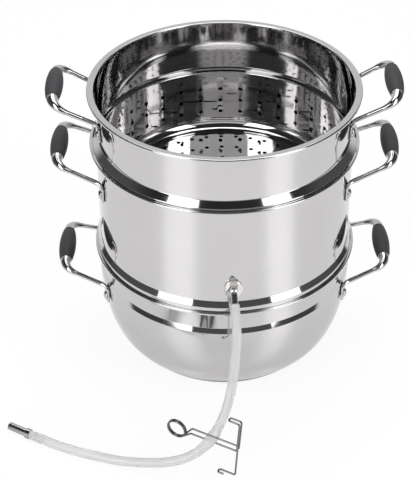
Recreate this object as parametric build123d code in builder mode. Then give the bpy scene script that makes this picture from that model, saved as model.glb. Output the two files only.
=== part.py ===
from build123d import *
import os
from math import atan, cos, degrees, pi, radians, sin, sqrt, tan

# Steam juicer: a water pan, a juice kettle with a drain spout and hose, and a
# steamer basket, stacked. Millimetres. The origin is the centre of the base on
# the table, +Z is up, the spout faces -Y and the handles lie along X.

# Pressed steel sheet and the lip that all three pots share
sheet = 1.0
lip_radius = 145.0
lip_width = 6.5
lip_drop = 2.6
lip_edge_bend = 1.2
lip_wall_bend = 1.4
wall_radius = lip_radius - lip_width
wall_inside = wall_radius - sheet

# Heights of the three lips above the table
pan_lip_height = 132.2
kettle_lip_height = 262.0
basket_lip_height = 324.5

# Water pan: collar, step, rounded bowl, and the sandwich disc under it
collar_height = 25.7
step_height = 5.8
bowl_radius = 141.0
bowl_flat_radius = 101.5
base_radius = 107.0
base_thickness = 5.0
base_edge_bevel = 1.2

# Stacking beads of the kettle and the basket, and how far each nests
bead_width = 3.9
kettle_bead_height = 11.5
kettle_bead_edge = 5.4
basket_bead_height = 7.7
bead_bend = 0.4
flare_bend = 2.0
nest_bend = 1.7
kettle_nest_clearance = 1.0
basket_nest_clearance = 3.0
kettle_nest_depth = 14.7
basket_nest_depth = 72.5
kettle_floor_bend = 9.0
basket_floor_bend = 14.0
basket_neck_radius = 135.2

# Steam cone in the kettle's floor
cone_radius = 38.0
cone_flange = 9.0
cone_height = 58.0
cone_top_radius = 17.0
cone_crown = 6.0
cone_bend = 2.5
cone_hole_radius = 4.5
cone_hole_drop = 9.0
cone_hole_count = 8

# Perforations of the basket
floor_hole_radius = 2.5
floor_hole_pitch = 22.0
floor_ring_count = 5
floor_holes_per_ring = 8
wall_hole_radius = 2.5
wall_hole_rows = 3
wall_hole_columns = 36
wall_hole_pitch = 15.0
wall_hole_first_share = 0.5

# How far each pot stands turned on the table, and the angle from its handles'
# line to each tab
pan_turn = -0.9
kettle_turn = -1.4
basket_turn = -0.6
pan_tab_angle = 21.8
kettle_tab_angle = 20.2
basket_tab_angle = 16.6

# Side handles: six alike, each a bent rod with two tabs and a soft grip
grip_x = 178.2
grip_length = 53.0
grip_mid_radius = 9.4
grip_end_radius = 6.8
grip_clearance = 0.1
rod_radius = 2.6
horn_radius = 6.4
horn_length = 27.0
horn_sections = 7
horn_curve = 1.0
horn_sink = 0.1
arm_reach = 15.8
corner_radius = 14.0
tab_width = 12.5
tab_thickness = 2.6
tab_above_rivet = 15.5
tab_below_rivet = 9.5
arm_above_rivet = 11.0
tab_corner_radius = 6.0
pan_grip_drop = 16.3
kettle_grip_drop = 9.6
basket_grip_rise = 1.8
pan_grip_above_rivet = 30.2
kettle_grip_above_rivet = 33.8
basket_grip_above_rivet = 37.3
rivet_shank_radius = 2.5
rivet_head_radius = 5.0
rivet_head_height = 2.6
rivet_head_taper = 35.0
rivet_inner_radius = 4.5
rivet_inner_height = 1.2
rivet_clearance = 0.1
rivet_seat = 0.12

# Drain spout: tube, clamping nuts, washer and gaskets
spout_height = 162.3
spout_turn = 2.0
spout_dip = 30.0
tube_radius = 3.5
tube_bore = 1.8
tube_bend = 9.0
tube_tip = 17.7
sleeve_radius = 4.5
sleeve_clearance = 0.1
gasket_radius = 9.0
gasket_thickness = 1.5
washer_radius = 9.5
washer_thickness = 1.2
nut_flats = 14.0
nut_thickness = 5.0
lock_nut_thickness = 4.0
nut_bevel = 0.8
elbow_stand_off = 2.5
inner_overhang = 1.5

# Drain hose with the tube in its far end
hose_radius = 5.0
hose_bore = 3.6
hose_gap = 12.9
hose_first_run = 9.0
end_tube_radius = 4.3
end_tube_bore = 2.7
end_tube_length = 27.0
end_collar_radius = 5.6
end_collar_length = 5.0
end_plug_length = 16.0
end_plug_radius = 3.55
end_gap = 0.3

# Pinch clamp: one spring wire, a ring at one end and two crossing jaws
wire_radius = 1.0
ring_radius = 10.2
ring_distance = 41.0
ring_drop = 4.0
wire_stagger = 1.15
jaw_gap = 5.2
jaw_skew = -30.0
jaw_reach = 30.5
jaw_overlap = 25.0
lower_exit = -50.0
upper_exit = -38.0
coil_opening = 30.0
tab_rise = 36.0
tab_return = 13.0
tab_lean = 3.0
foot_return = 18.5
foot_clearance = 0.2
wire_bend = 2.2
hook_spacing = 4.6
hook_tail = 7.0
bite_clearance = 0.3
pinch_length = 14.0

# One overrun for every cut
overrun = 5.0

os.makedirs("parts", exist_ok=True)


def finish(part, name):
    """Label a finished piece and write it."""
    part.label = name
    export_step(part, f"parts/{name}.step")


def lip_points(lip_height):
    """The pressed lip's upper face, from its turned-down edge inwards."""
    return [
        (lip_radius, lip_height - lip_drop),
        (lip_radius, lip_height),
        (wall_inside, lip_height),
    ]


lip_bends = [lip_edge_bend, lip_wall_bend]

# Water pan
collar_bottom = pan_lip_height - collar_height
bowl_top = collar_bottom - step_height
bowl_width = bowl_radius - bowl_flat_radius
bowl_depth = bowl_top - base_thickness
bowl_floor = base_thickness + sheet

pan_grip_height = pan_lip_height - pan_grip_drop
kettle_grip_height = kettle_lip_height - kettle_grip_drop
basket_grip_height = basket_lip_height + basket_grip_rise
pan_rivet_height = pan_grip_height - pan_grip_above_rivet
kettle_rivet_height = kettle_grip_height - kettle_grip_above_rivet
basket_rivet_height = basket_grip_height - basket_grip_above_rivet
basket_bead_top = kettle_lip_height + basket_bead_height


def bowl_radius_at(height):
    """Outer radius of the pan's bowl at a height."""
    depth_share = (bowl_top - height) / bowl_depth
    return bowl_flat_radius + bowl_width * sqrt(1 - depth_share**2)


def basket_radius_at(height):
    """Outer radius of the basket's tapered wall at a height."""
    rise_share = (height - basket_bead_top) / (basket_lip_height - basket_bead_top)
    return basket_neck_radius + (wall_radius - basket_neck_radius) * rise_share


basket_tilt = degrees(atan((wall_radius - basket_neck_radius) / (basket_lip_height - basket_bead_top)))
pots = {
    "pan": (pan_rivet_height, bowl_radius, 0),
    "kettle": (kettle_rivet_height, wall_radius, 0),
    "basket": (basket_rivet_height, basket_radius_at(basket_rivet_height), basket_tilt),
}
# How far each wall falls back from its tab's plane at the inner rivet head's lower edge
wall_setbacks = {
    "pan": bowl_radius - bowl_radius_at(pan_rivet_height - rivet_inner_radius),
    "kettle": 0,
    "basket": 0,
}
grip_heights = {"pan": pan_grip_height, "kettle": kettle_grip_height, "basket": basket_grip_height}
turns = {"pan": pan_turn, "kettle": kettle_turn, "basket": basket_turn}
tab_angles = {"pan": pan_tab_angle, "kettle": kettle_tab_angle, "basket": basket_tab_angle}
sides = {"left": -1, "right": 1}


def handle_axes(pot):
    """A pot's own directions: towards its right-hand handles, and towards its back."""
    turn = radians(turns[pot])
    return Vector(cos(turn), sin(turn), 0), Vector(-sin(turn), cos(turn), 0)


def tab_plane(pot, side, end):
    """The plane of one handle tab: origin at its rivet on the pot's wall, x up, z outwards."""
    height, radius, tilt = pots[pot]
    angle = radians(tab_angles[pot])
    rightward, backward = handle_axes(pot)
    outward = rightward * side * cos(angle) + backward * end * sin(angle)
    origin = outward * radius + Vector(0, 0, height)
    normal = outward * cos(radians(tilt)) - Vector(0, 0, sin(radians(tilt)))
    up = outward * sin(radians(tilt)) + Vector(0, 0, cos(radians(tilt)))
    return Plane(origin=origin, x_dir=up, z_dir=normal)


def rivet_drill(pot):
    """Four pins where one pot's rivet holes go."""
    with BuildPart() as drill:
        for side in sides.values():
            for end in (-1, 1):
                with BuildSketch(tab_plane(pot, side, end).offset(overrun)):
                    Circle(rivet_shank_radius + rivet_clearance)
                extrude(amount=-2 * overrun - sheet)
    return drill.part


rivet_drills = {pot: rivet_drill(pot) for pot in pots}

with BuildPart() as water_pan:
    with BuildSketch(Plane.XZ):
        with BuildLine():
            FilletPolyline(
                *lip_points(pan_lip_height),
                (wall_inside, collar_bottom),
                (bowl_radius - sheet, bowl_top),
                (bowl_radius - sheet, bowl_top - sheet),
                radius=[*lip_bends, flare_bend, bead_bend],
            )
            offset(amount=sheet, side=Side.LEFT, kind=Kind.ARC)
        make_face()
    revolve(axis=Axis.Z)
    with BuildSketch(Plane.XZ):
        with BuildLine():
            bowl_outer = EllipticalCenterArc(
                (bowl_flat_radius, bowl_top), bowl_width, bowl_depth, start_angle=270, arc_size=90
            )
            bowl_inner = EllipticalCenterArc(
                (bowl_flat_radius, bowl_top),
                bowl_width - sheet,
                bowl_depth - sheet,
                start_angle=270,
                arc_size=90,
            )
            Line(bowl_outer @ 1, bowl_inner @ 1)
            Polyline(bowl_inner @ 0, (0, bowl_floor), (0, base_thickness), bowl_outer @ 0)
        make_face()
    revolve(axis=Axis.Z)
    add(rivet_drills["pan"], mode=Mode.SUBTRACT)
finish(water_pan.part, "water_pan")

with BuildPart() as pan_base_disc:
    with BuildSketch():
        Circle(base_radius)
    extrude(amount=base_thickness)
    chamfer(pan_base_disc.edges().group_by(Axis.Z)[0], length=base_edge_bevel)
finish(pan_base_disc.part, "pan_base_disc")

# Juice kettle, resting with its bead on the pan's lip
kettle_nest_radius = wall_inside - kettle_nest_clearance
kettle_floor = pan_lip_height - kettle_nest_depth
kettle_floor_top = kettle_floor + sheet
kettle_bead_inside = wall_radius + bead_width - sheet
spout_angle = radians(spout_turn)
spout_out = Vector(sin(spout_angle), -cos(spout_angle), 0)
spout_across = Vector(cos(spout_angle), sin(spout_angle), 0)


def spout_plane(reach):
    """A plane square to the spout at a distance from the pot's axis."""
    return Plane(origin=spout_out * reach + Vector(0, 0, spout_height), x_dir=spout_across, z_dir=spout_out)


with BuildPart() as juice_kettle:
    with BuildSketch(Plane.XZ):
        with BuildLine():
            FilletPolyline(
                *lip_points(kettle_lip_height),
                (wall_inside, pan_lip_height + kettle_bead_height),
                (kettle_bead_inside, pan_lip_height + kettle_bead_edge),
                (kettle_bead_inside, pan_lip_height + sheet),
                (kettle_nest_radius - sheet, pan_lip_height + sheet),
                (kettle_nest_radius - sheet, kettle_floor_top),
                (cone_radius, kettle_floor_top),
                radius=[*lip_bends, flare_bend, flare_bend, bead_bend, nest_bend, kettle_floor_bend],
            )
            offset(amount=sheet, side=Side.LEFT, kind=Kind.ARC)
        make_face()
    revolve(axis=Axis.Z)
    add(rivet_drills["kettle"], mode=Mode.SUBTRACT)
    with BuildSketch(spout_plane(wall_radius + overrun)):
        Circle(sleeve_radius + sleeve_clearance)
    extrude(amount=-2 * overrun - sheet, mode=Mode.SUBTRACT)
finish(juice_kettle.part, "juice_kettle")

with BuildPart() as steam_cone:
    with BuildSketch(Plane.XZ):
        with BuildLine():
            FilletPolyline(
                (cone_radius + cone_flange, kettle_floor_top),
                (cone_radius, kettle_floor_top),
                (cone_top_radius, kettle_floor_top + cone_height),
                (0, kettle_floor_top + cone_height + cone_crown),
                radius=cone_bend,
            )
            offset(amount=sheet, side=Side.RIGHT, kind=Kind.ARC)
        make_face()
    revolve(axis=Axis.Z)
    with BuildSketch(Plane.YZ):
        with Locations((0, kettle_floor_top + cone_height - cone_hole_drop)):
            Circle(cone_hole_radius)
    cone_drill = extrude(amount=cone_radius, mode=Mode.PRIVATE)
    with PolarLocations(0, cone_hole_count):
        add(cone_drill, mode=Mode.SUBTRACT)
finish(steam_cone.part, "steam_cone")

# Steamer basket, resting with its bead on the kettle's lip
basket_nest_radius = wall_inside - basket_nest_clearance
basket_floor = kettle_lip_height - basket_nest_depth
basket_floor_top = basket_floor + sheet
basket_bead_inside = wall_radius + bead_width - sheet

with BuildPart() as steamer_basket:
    with BuildSketch(Plane.XZ):
        with BuildLine():
            FilletPolyline(
                *lip_points(basket_lip_height),
                (basket_neck_radius - sheet, basket_bead_top),
                (basket_bead_inside, kettle_lip_height + sheet),
                (basket_nest_radius - sheet, kettle_lip_height + sheet),
                (basket_nest_radius - sheet, basket_floor_top),
                (0, basket_floor_top),
                radius=[*lip_bends, flare_bend, bead_bend, nest_bend, basket_floor_bend],
            )
            offset(amount=sheet, side=Side.LEFT, kind=Kind.ARC)
        make_face()
    revolve(axis=Axis.Z)
    add(rivet_drills["basket"], mode=Mode.SUBTRACT)
    with BuildSketch(Plane.XY.offset(basket_floor - overrun)):
        Circle(floor_hole_radius)
        for ring in range(1, floor_ring_count + 1):
            with PolarLocations(ring * floor_hole_pitch, ring * floor_holes_per_ring):
                Circle(floor_hole_radius)
    extrude(amount=sheet + 2 * overrun, mode=Mode.SUBTRACT, clean=False)
    with BuildSketch(Plane.XZ):
        for row in range(wall_hole_rows):
            row_height = basket_floor + basket_floor_bend + (row + wall_hole_first_share) * wall_hole_pitch
            with Locations((0, row_height)):
                Circle(wall_hole_radius)
    wall_drill = extrude(amount=lip_radius, mode=Mode.PRIVATE)
    with PolarLocations(0, wall_hole_columns):
        add(wall_drill, mode=Mode.SUBTRACT, clean=False)
finish(steamer_basket.part, "steamer_basket")

# Six side handles
grip_half = grip_length / 2
corner_y = grip_half + arm_reach


def handle(pot, side_name):
    """Write one handle's rod with its tabs, its grip and its rivets."""
    side = sides[side_name]
    rightward, backward = handle_axes(pot)
    grip_centre = rightward * side * grip_x + Vector(0, 0, grip_heights[pot])
    tabs = {end: tab_plane(pot, side, end) for end in (-1, 1)}
    roots = {
        end: plane.from_local_coords(Vector(arm_above_rivet, 0, tab_thickness - rivet_clearance))
        for end, plane in tabs.items()
    }
    corners = {end: grip_centre + backward * end * corner_y for end in (-1, 1)}

    with BuildPart() as rod:
        with BuildLine():
            spine = FilletPolyline(roots[-1], corners[-1], corners[1], roots[1], radius=corner_radius)
        with BuildSketch(Plane(origin=spine @ 0, z_dir=spine % 0)):
            Circle(rod_radius)
        sweep(path=spine)
        for end, plane in tabs.items():
            with BuildSketch(plane):
                with Locations(((tab_above_rivet - tab_below_rivet) / 2, 0)):
                    RectangleRounded(tab_above_rivet + tab_below_rivet, tab_width, tab_corner_radius)
                Circle(rivet_shank_radius + rivet_clearance, mode=Mode.SUBTRACT)
            extrude(amount=tab_thickness)
            for section in range(horn_sections):
                share = section / (horn_sections - 1)
                place = 0.5 + end * (grip_half + share * horn_length) / spine.length
                flare = (horn_radius - rod_radius + horn_sink) * (1 - share) ** horn_curve
                with BuildSketch(Plane(origin=spine @ place, z_dir=spine % place)):
                    Circle(rod_radius - horn_sink + flare)
            loft()
    finish(rod.part, f"{pot}_handle_{side_name}")

    with BuildPart() as grip:
        with BuildSketch(Plane(origin=grip_centre, x_dir=rightward, z_dir=(0, 0, 1))):
            with BuildLine():
                barrel = ThreePointArc(
                    (grip_end_radius, -grip_half), (grip_mid_radius, 0), (grip_end_radius, grip_half)
                )
                Polyline(
                    barrel @ 1,
                    (rod_radius + grip_clearance, grip_half),
                    (rod_radius + grip_clearance, -grip_half),
                    barrel @ 0,
                )
            make_face()
        revolve(axis=Axis(grip_centre, backward))
    finish(grip.part, f"{pot}_grip_{side_name}")

    with BuildPart() as rivets:
        for plane in tabs.values():
            inner_face = -sheet - rivet_seat - wall_setbacks[pot]
            with BuildSketch(plane.offset(inner_face - rivet_inner_height)):
                Circle(rivet_inner_radius)
            extrude(amount=rivet_inner_height)
            with BuildSketch(plane.offset(inner_face)):
                Circle(rivet_shank_radius)
            extrude(amount=tab_thickness - inner_face)
            with BuildSketch(plane.offset(tab_thickness)):
                Circle(rivet_head_radius)
            extrude(amount=rivet_head_height, taper=rivet_head_taper)
    finish(rivets.part, f"{pot}_rivets_{side_name}")


for pot_name in pots:
    for side_name in sides:
        handle(pot_name, side_name)

# Drain spout, clamped through the kettle's wall
washer_face = wall_radius + gasket_thickness
nut_face = washer_face + washer_thickness
elbow_reach = nut_face + nut_thickness + elbow_stand_off
lock_face = wall_inside - gasket_thickness
inner_end = lock_face - lock_nut_thickness - inner_overhang
dip = radians(spout_dip)
tip_direction = spout_out * cos(dip) - Vector(0, 0, sin(dip))
elbow = spout_out * elbow_reach + Vector(0, 0, spout_height)
tube_end = elbow + tip_direction * tube_tip

with BuildPart() as spout_tube:
    with BuildLine():
        tube_line = FilletPolyline(
            spout_out * inner_end + Vector(0, 0, spout_height), elbow, tube_end, radius=tube_bend
        )
    with BuildSketch(spout_plane(inner_end)):
        Circle(tube_radius)
    sweep(path=tube_line)
    with BuildSketch(spout_plane(inner_end)):
        Circle(sleeve_radius)
    extrude(amount=nut_face + nut_thickness - inner_end)
    with BuildSketch(spout_plane(inner_end)):
        Circle(tube_bore)
    sweep(path=tube_line, mode=Mode.SUBTRACT)
finish(spout_tube.part, "spout_tube")

with BuildPart() as spout_outer_gasket:
    with BuildSketch(spout_plane(wall_radius - gasket_thickness)):
        Circle(gasket_radius)
        Circle(sleeve_radius + sleeve_clearance, mode=Mode.SUBTRACT)
    extrude(amount=2 * gasket_thickness)
    with BuildSketch(Plane.XY.offset(spout_height - gasket_radius - overrun)):
        Circle(wall_radius)
    extrude(amount=2 * (gasket_radius + overrun), mode=Mode.SUBTRACT)
finish(spout_outer_gasket.part, "spout_outer_gasket")

with BuildPart() as spout_inner_gasket:
    with BuildSketch(spout_plane(lock_face)):
        Circle(gasket_radius)
        Circle(sleeve_radius + sleeve_clearance, mode=Mode.SUBTRACT)
    extrude(amount=2 * gasket_thickness)
    with BuildSketch(Plane.XY.offset(spout_height - gasket_radius - overrun)):
        Circle(lip_radius)
        Circle(wall_inside, mode=Mode.SUBTRACT)
    extrude(amount=2 * (gasket_radius + overrun), mode=Mode.SUBTRACT)
finish(spout_inner_gasket.part, "spout_inner_gasket")

with BuildPart() as spout_washer:
    with BuildSketch(spout_plane(washer_face)):
        Circle(washer_radius)
        Circle(sleeve_radius + sleeve_clearance, mode=Mode.SUBTRACT)
    extrude(amount=washer_thickness)
finish(spout_washer.part, "spout_washer")


def spout_nut(reach, thickness, name):
    """A hexagon nut on the spout's sleeve, its inner face at a reach."""
    with BuildPart() as nut:
        with BuildSketch(spout_plane(reach)):
            RegularPolygon(nut_flats / 2, 6, major_radius=False)
        extrude(amount=thickness)
        chamfer(nut.edges().filter_by(GeomType.LINE).group_by(Axis.Y)[0], length=nut_bevel)
        with BuildSketch(spout_plane(reach)):
            Circle(sleeve_radius + sleeve_clearance)
        extrude(amount=thickness, mode=Mode.SUBTRACT)
    finish(nut.part, name)


spout_nut(nut_face, nut_thickness, "spout_nut")
spout_nut(lock_face - lock_nut_thickness, lock_nut_thickness, "spout_lock_nut")

# Hose route: its first run follows the spout's tip, the rest are points on the
# hose's own line down to the table, where the hose lies to the left.
hose_start = elbow + tip_direction * hose_gap
route = [
    hose_start,
    hose_start + tip_direction * hose_first_run,
    (7.0, -178.0, 140.0),
    (6.0, -189.0, 123.0),
    (4.0, -198.0, 103.0),
    (0.0, -208.0, 80.0),
    (-6.0, -218.0, 62.0),
    (-15.0, -231.0, 48.0),
    (-28.0, -242.6, 36.0),
    (-46.0, -249.0, 27.0),
    (-67.0, -247.0, 19.0),
    (-90.0, -239.0, 11.0),
    (-115.0, -231.5, 6.2),
    (-140.0, -222.6, 5.0),
    (-165.0, -213.8, 5.0),
    (-190.0, -202.2, 5.0),
    (-214.5, -188.0, 5.6),
]
route = [Vector(point) for point in route]
arc_share = 0.45
hose_radii = []
for before, at, after in zip(route, route[1:], route[2:]):
    half_turn = radians((at - before).get_angle(after - at)) / 2
    shorter_run = min((at - before).length, (after - at).length)
    hose_radii.append(arc_share * shorter_run / tan(half_turn))
print("hose radii", [round(value) for value in hose_radii])

clamp_run = 7
jaw_centre = (route[clamp_run] + route[clamp_run + 1]) / 2
hose_direction = (route[clamp_run + 1] - route[clamp_run]).normalized()

with BuildLine() as hose_line:
    FilletPolyline(*route, radius=hose_radii)
hose_path = hose_line.wire()
print("hose length", round(hose_path.length, 1))
hose_plane = Plane(origin=hose_start, z_dir=tip_direction)

# Clamp frame: x along the jaws, y up, z across the jaws along the hose
skew = radians(jaw_skew)
jaw_along = Vector(cos(skew), sin(skew), 0)
jaw_across = jaw_along.cross(Vector(0, 0, 1))
clamp_plane = Plane(origin=jaw_centre, x_dir=jaw_along, z_dir=jaw_across)


def clamp_point(along, up, across=0):
    """A point in the clamp's own frame, measured from where the hose is pinched."""
    return clamp_plane.from_local_coords(Vector(along, up, across))


with BuildPart() as hose_bore_core:
    with BuildSketch(hose_plane):
        Circle(hose_bore)
    sweep(path=hose_path)
    with BuildSketch(Plane(origin=jaw_centre - hose_direction * pinch_length / 2, z_dir=hose_direction)):
        Circle(2 * hose_radius)
    extrude(amount=pinch_length, mode=Mode.SUBTRACT)

with BuildPart() as drain_hose:
    with BuildSketch(hose_plane):
        Circle(hose_radius)
    sweep(path=hose_path)
    print("hose volume over section times length", round(
        drain_hose.part.volume / (pi * hose_radius**2 * hose_path.length), 4))
    add(hose_bore_core.part, mode=Mode.SUBTRACT)
    bite = wire_radius + bite_clearance
    for level in (-1, 1):
        across = -level * wire_stagger
        bite_start = clamp_point(-jaw_overlap, level * jaw_gap / 2, across)
        with BuildSketch(Plane(origin=bite_start, z_dir=jaw_along)):
            Circle(bite)
        extrude(amount=2 * jaw_overlap, mode=Mode.SUBTRACT)
        with BuildSketch(clamp_plane.offset(across - bite)):
            with Locations((0, level * (jaw_gap / 2 + hose_radius))):
                Rectangle(2 * jaw_overlap, 2 * hose_radius)
        extrude(amount=2 * bite, mode=Mode.SUBTRACT)
finish(drain_hose.part, "drain_hose")

hose_end = hose_path @ 1
end_direction = hose_path % 1

with BuildPart() as hose_end_tube:
    with BuildSketch(Plane(origin=hose_end - end_direction * end_plug_length, z_dir=end_direction)):
        Circle(end_plug_radius)
    extrude(amount=end_plug_length + end_gap + end_collar_length)
    with BuildSketch(Plane(origin=hose_end + end_direction * end_gap, z_dir=end_direction)):
        Circle(end_collar_radius)
    extrude(amount=end_collar_length)
    with BuildSketch(Plane(origin=hose_end + end_direction * end_gap, z_dir=end_direction)):
        Circle(end_tube_radius)
    extrude(amount=end_tube_length)
    with BuildSketch(Plane(origin=hose_end - end_direction * end_plug_length, z_dir=end_direction)):
        Circle(end_tube_bore)
    extrude(amount=end_plug_length + end_gap + end_tube_length, mode=Mode.SUBTRACT)
finish(hose_end_tube.part, "hose_end_tube")

# Pinch clamp: the lower jaw carries the upper thumb tab, and the upper jaw
# passes through that tab's slot and ends in the lower thumb tab, on the table.
half_gap = jaw_gap / 2
foot_level = wire_radius + foot_clearance - jaw_centre.Z


def ring_point(turn, across):
    """A point of the clamp's ring, by its angle from the jaws' direction."""
    along = -ring_distance + ring_radius * cos(radians(turn))
    up = -ring_drop + ring_radius * sin(radians(turn))
    return clamp_point(along, up, across)


def neck_point(leave, level, across):
    """Where the wire that leaves the ring at an angle reaches its jaw's level."""
    leave_up = -ring_drop + ring_radius * sin(radians(leave))
    leave_along = -ring_distance + ring_radius * cos(radians(leave))
    return clamp_point(leave_along - (level - leave_up) * tan(radians(leave)), level, across)


def clamp_arm(leave, level, across, tab, name):
    """Write one arm of the clamp: its turn of the ring, its jaw and its thumb tab."""
    with BuildPart() as arm:
        with BuildLine() as line:
            ThreePointArc(
                ring_point(leave + coil_opening, across),
                ring_point(leave + coil_opening / 2 + 180, across),
                ring_point(leave, across),
            )
            FilletPolyline(
                ring_point(leave, across),
                neck_point(leave, level, across),
                clamp_point(jaw_reach, level, across),
                *tab,
                radius=wire_bend,
            )
        path = line.wire()
        with BuildSketch(Plane(origin=path @ 0, z_dir=path % 0)):
            Circle(wire_radius)
        sweep(path=path)
    finish(arm.part, name)


tab_top = jaw_reach + tab_lean
tab_tip = tab_top - tab_return
far_wire = wire_stagger - hook_spacing
upper_tab = [
    clamp_point(tab_top, tab_rise, wire_stagger),
    clamp_point(tab_tip, tab_rise, wire_stagger),
    clamp_point(tab_tip, tab_rise, far_wire),
    clamp_point(tab_top, tab_rise, far_wire),
    clamp_point(jaw_reach, -half_gap, far_wire),
]
clamp_arm(lower_exit, -half_gap, wire_stagger, upper_tab, "clamp_lower_jaw")

foot_end = jaw_reach - tab_lean
foot_tip = foot_end - foot_return
near_wire = hook_spacing - wire_stagger
lower_tab = [
    clamp_point(foot_end, foot_level, -wire_stagger),
    clamp_point(foot_tip, foot_level, -wire_stagger),
    clamp_point(foot_tip, foot_level, near_wire),
    clamp_point(foot_tip + hook_tail, foot_level, near_wire),
]
clamp_arm(upper_exit, half_gap, -wire_stagger, lower_tab, "clamp_upper_jaw")

print("jaw centre", jaw_centre, "jaw direction", jaw_along, "hinge axis", jaw_across)
print("ring centre", clamp_point(-ring_distance, -ring_drop))
print("spout direction", tip_direction, "tube end", tube_end)
print("hose end", hose_end, "direction", end_direction)
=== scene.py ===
from math import asin, atan, cos, degrees, pi, radians, sin, sqrt, tan

import bpy
from mathutils import Matrix, Vector


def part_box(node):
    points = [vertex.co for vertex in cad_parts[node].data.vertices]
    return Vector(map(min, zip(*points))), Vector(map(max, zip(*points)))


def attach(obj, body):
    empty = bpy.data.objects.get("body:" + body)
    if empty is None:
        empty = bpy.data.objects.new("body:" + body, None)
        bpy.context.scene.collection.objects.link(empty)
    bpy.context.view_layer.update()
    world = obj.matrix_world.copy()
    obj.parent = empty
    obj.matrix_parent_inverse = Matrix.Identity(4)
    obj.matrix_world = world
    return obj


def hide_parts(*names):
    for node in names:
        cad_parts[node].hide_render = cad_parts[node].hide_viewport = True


# Steam juicer: three stacked pots of polished steel with side handles, and a
# drain hose with its pinch clamp. Lengths are in millimetres until a mesh is made.

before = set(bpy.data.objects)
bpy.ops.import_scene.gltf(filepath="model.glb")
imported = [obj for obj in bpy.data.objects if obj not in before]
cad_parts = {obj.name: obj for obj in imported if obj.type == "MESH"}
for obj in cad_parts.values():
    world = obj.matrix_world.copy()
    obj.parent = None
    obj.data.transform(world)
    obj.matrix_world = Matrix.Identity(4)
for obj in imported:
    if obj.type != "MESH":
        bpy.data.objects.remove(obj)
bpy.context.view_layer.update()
mm = 0.001

# Pots, as they are pressed: the driving sizes come from the frame
sheet = 1.0
lip_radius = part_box("water_pan")[1].x / mm
pan_lip_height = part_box("water_pan")[1].z / mm
kettle_lip_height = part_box("juice_kettle")[1].z / mm
basket_lip_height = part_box("steamer_basket")[1].z / mm
lip_width = 6.5
lip_drop = 2.6
lip_edge_bend = 1.2
lip_wall_bend = 1.4
wall_radius = lip_radius - lip_width
wall_inside = wall_radius - sheet
collar_height = 25.7
step_height = 5.8
bowl_radius = 141.0
bowl_flat_radius = 101.5
base_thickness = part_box("pan_base_disc")[1].z / mm
bead_width = 3.9
kettle_bead_height = 11.5
kettle_bead_edge = 5.4
basket_bead_height = 7.7
bead_bend = 0.4
flare_bend = 2.0
nest_bend = 1.7
kettle_nest_radius = wall_inside - 1.0
basket_nest_radius = wall_inside - 3.0
kettle_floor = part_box("juice_kettle")[0].z / mm
basket_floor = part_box("steamer_basket")[0].z / mm
kettle_floor_bend = 9.0
basket_floor_bend = 14.0
basket_neck_radius = 135.2
cone_radius = 38.0
cone_flange = 9.0
cone_height = 58.0
cone_top_radius = 17.0
cone_crown = 6.0
cone_bend = 2.5
cone_hole_radius = 4.5
cone_hole_drop = 9.0
cone_hole_count = 8
floor_hole_radius = 2.5
floor_hole_pitch = 22.0
floor_ring_count = 5
floor_holes_per_ring = 8
drill_depth = 6.0
wall_hole_rows = 3
wall_hole_columns = 36
wall_hole_pitch = 15.0

# Side handles
grip_x = 178.2
grip_length = 53.0
grip_mid_radius = 9.4
grip_end_radius = 6.8
grip_edge = 0.9
rod_radius = 2.6
horn_radius = 6.4
horn_length = 27.0
horn_curve = 1.0
arm_reach = 15.8
corner_radius = 14.0
tab_width = 12.5
tab_thickness = 2.6
tab_below_rivet = 9.5
tab_bend_height = 12.5
tab_bend = 5.0
tab_round = 6.0
tab_fade = 12.0
tab_squareness = 1.6
tab_tip_width_share = 0.12
tab_tip_thickness_share = 0.55
turns = {"pan": -0.9, "kettle": -1.4, "basket": -0.6}
tab_angles = {"pan": 21.8, "kettle": 20.2, "basket": 16.6}
grip_heights = {
    "pan": pan_lip_height - 16.3,
    "kettle": kettle_lip_height - 9.6,
    "basket": basket_lip_height + 1.8,
}
rivet_heights = {
    "pan": grip_heights["pan"] - 30.2,
    "kettle": grip_heights["kettle"] - 33.8,
    "basket": grip_heights["basket"] - 37.3,
}
rivet_head_radius = 5.0
rivet_head_height = 2.6
rivet_inner_radius = 4.5
rivet_inner_height = 1.2

# Drain spout
spout_height = 162.3
spout_turn = 2.0
spout_dip = 30.0
elbow_reach = wall_radius + 10.2

# Hose and clamp
hose_radius = 5.0
hose_bore = 3.6
hose_gap = 12.9
hose_first_run = 9.0
wire_radius = 1.0
ring_radius = 10.2
ring_distance = 41.0
ring_drop = 4.0
wire_stagger = 1.15
jaw_gap = 5.2
jaw_skew = -30.0
jaw_reach = 30.5
lower_exit = -50.0
upper_exit = -38.0
coil_opening = 30.0
tab_rise = 36.0
tab_return = 13.0
tab_lean = 3.0
foot_return = 18.5
foot_clearance = 0.2
wire_bend = 2.2
hook_spacing = 4.6
hook_tail = 7.0
pinch_spread = 15.0
pinch_half_thickness = 1.55
pinch_half_width = 6.9
pinched_bore = 0.15

# How finely the rounds are drawn: segments round a piece, steps along it, and degrees
crease_angle = radians(32)
bend_step = 9.0
wire_bend_step = 15.0
pot_segments = 192
bowl_steps = 48
cone_segments = 96
cone_hole_sides = 24
basket_hole_sides = 20
grip_segments = 64
grip_steps = 36
bar_sides = 32
bar_step = 1.2
rivet_segments = 48
rivet_rings = 24
hose_sides = 32
wire_sides = 16
wire_step = 3.0
ring_steps = 60


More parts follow.
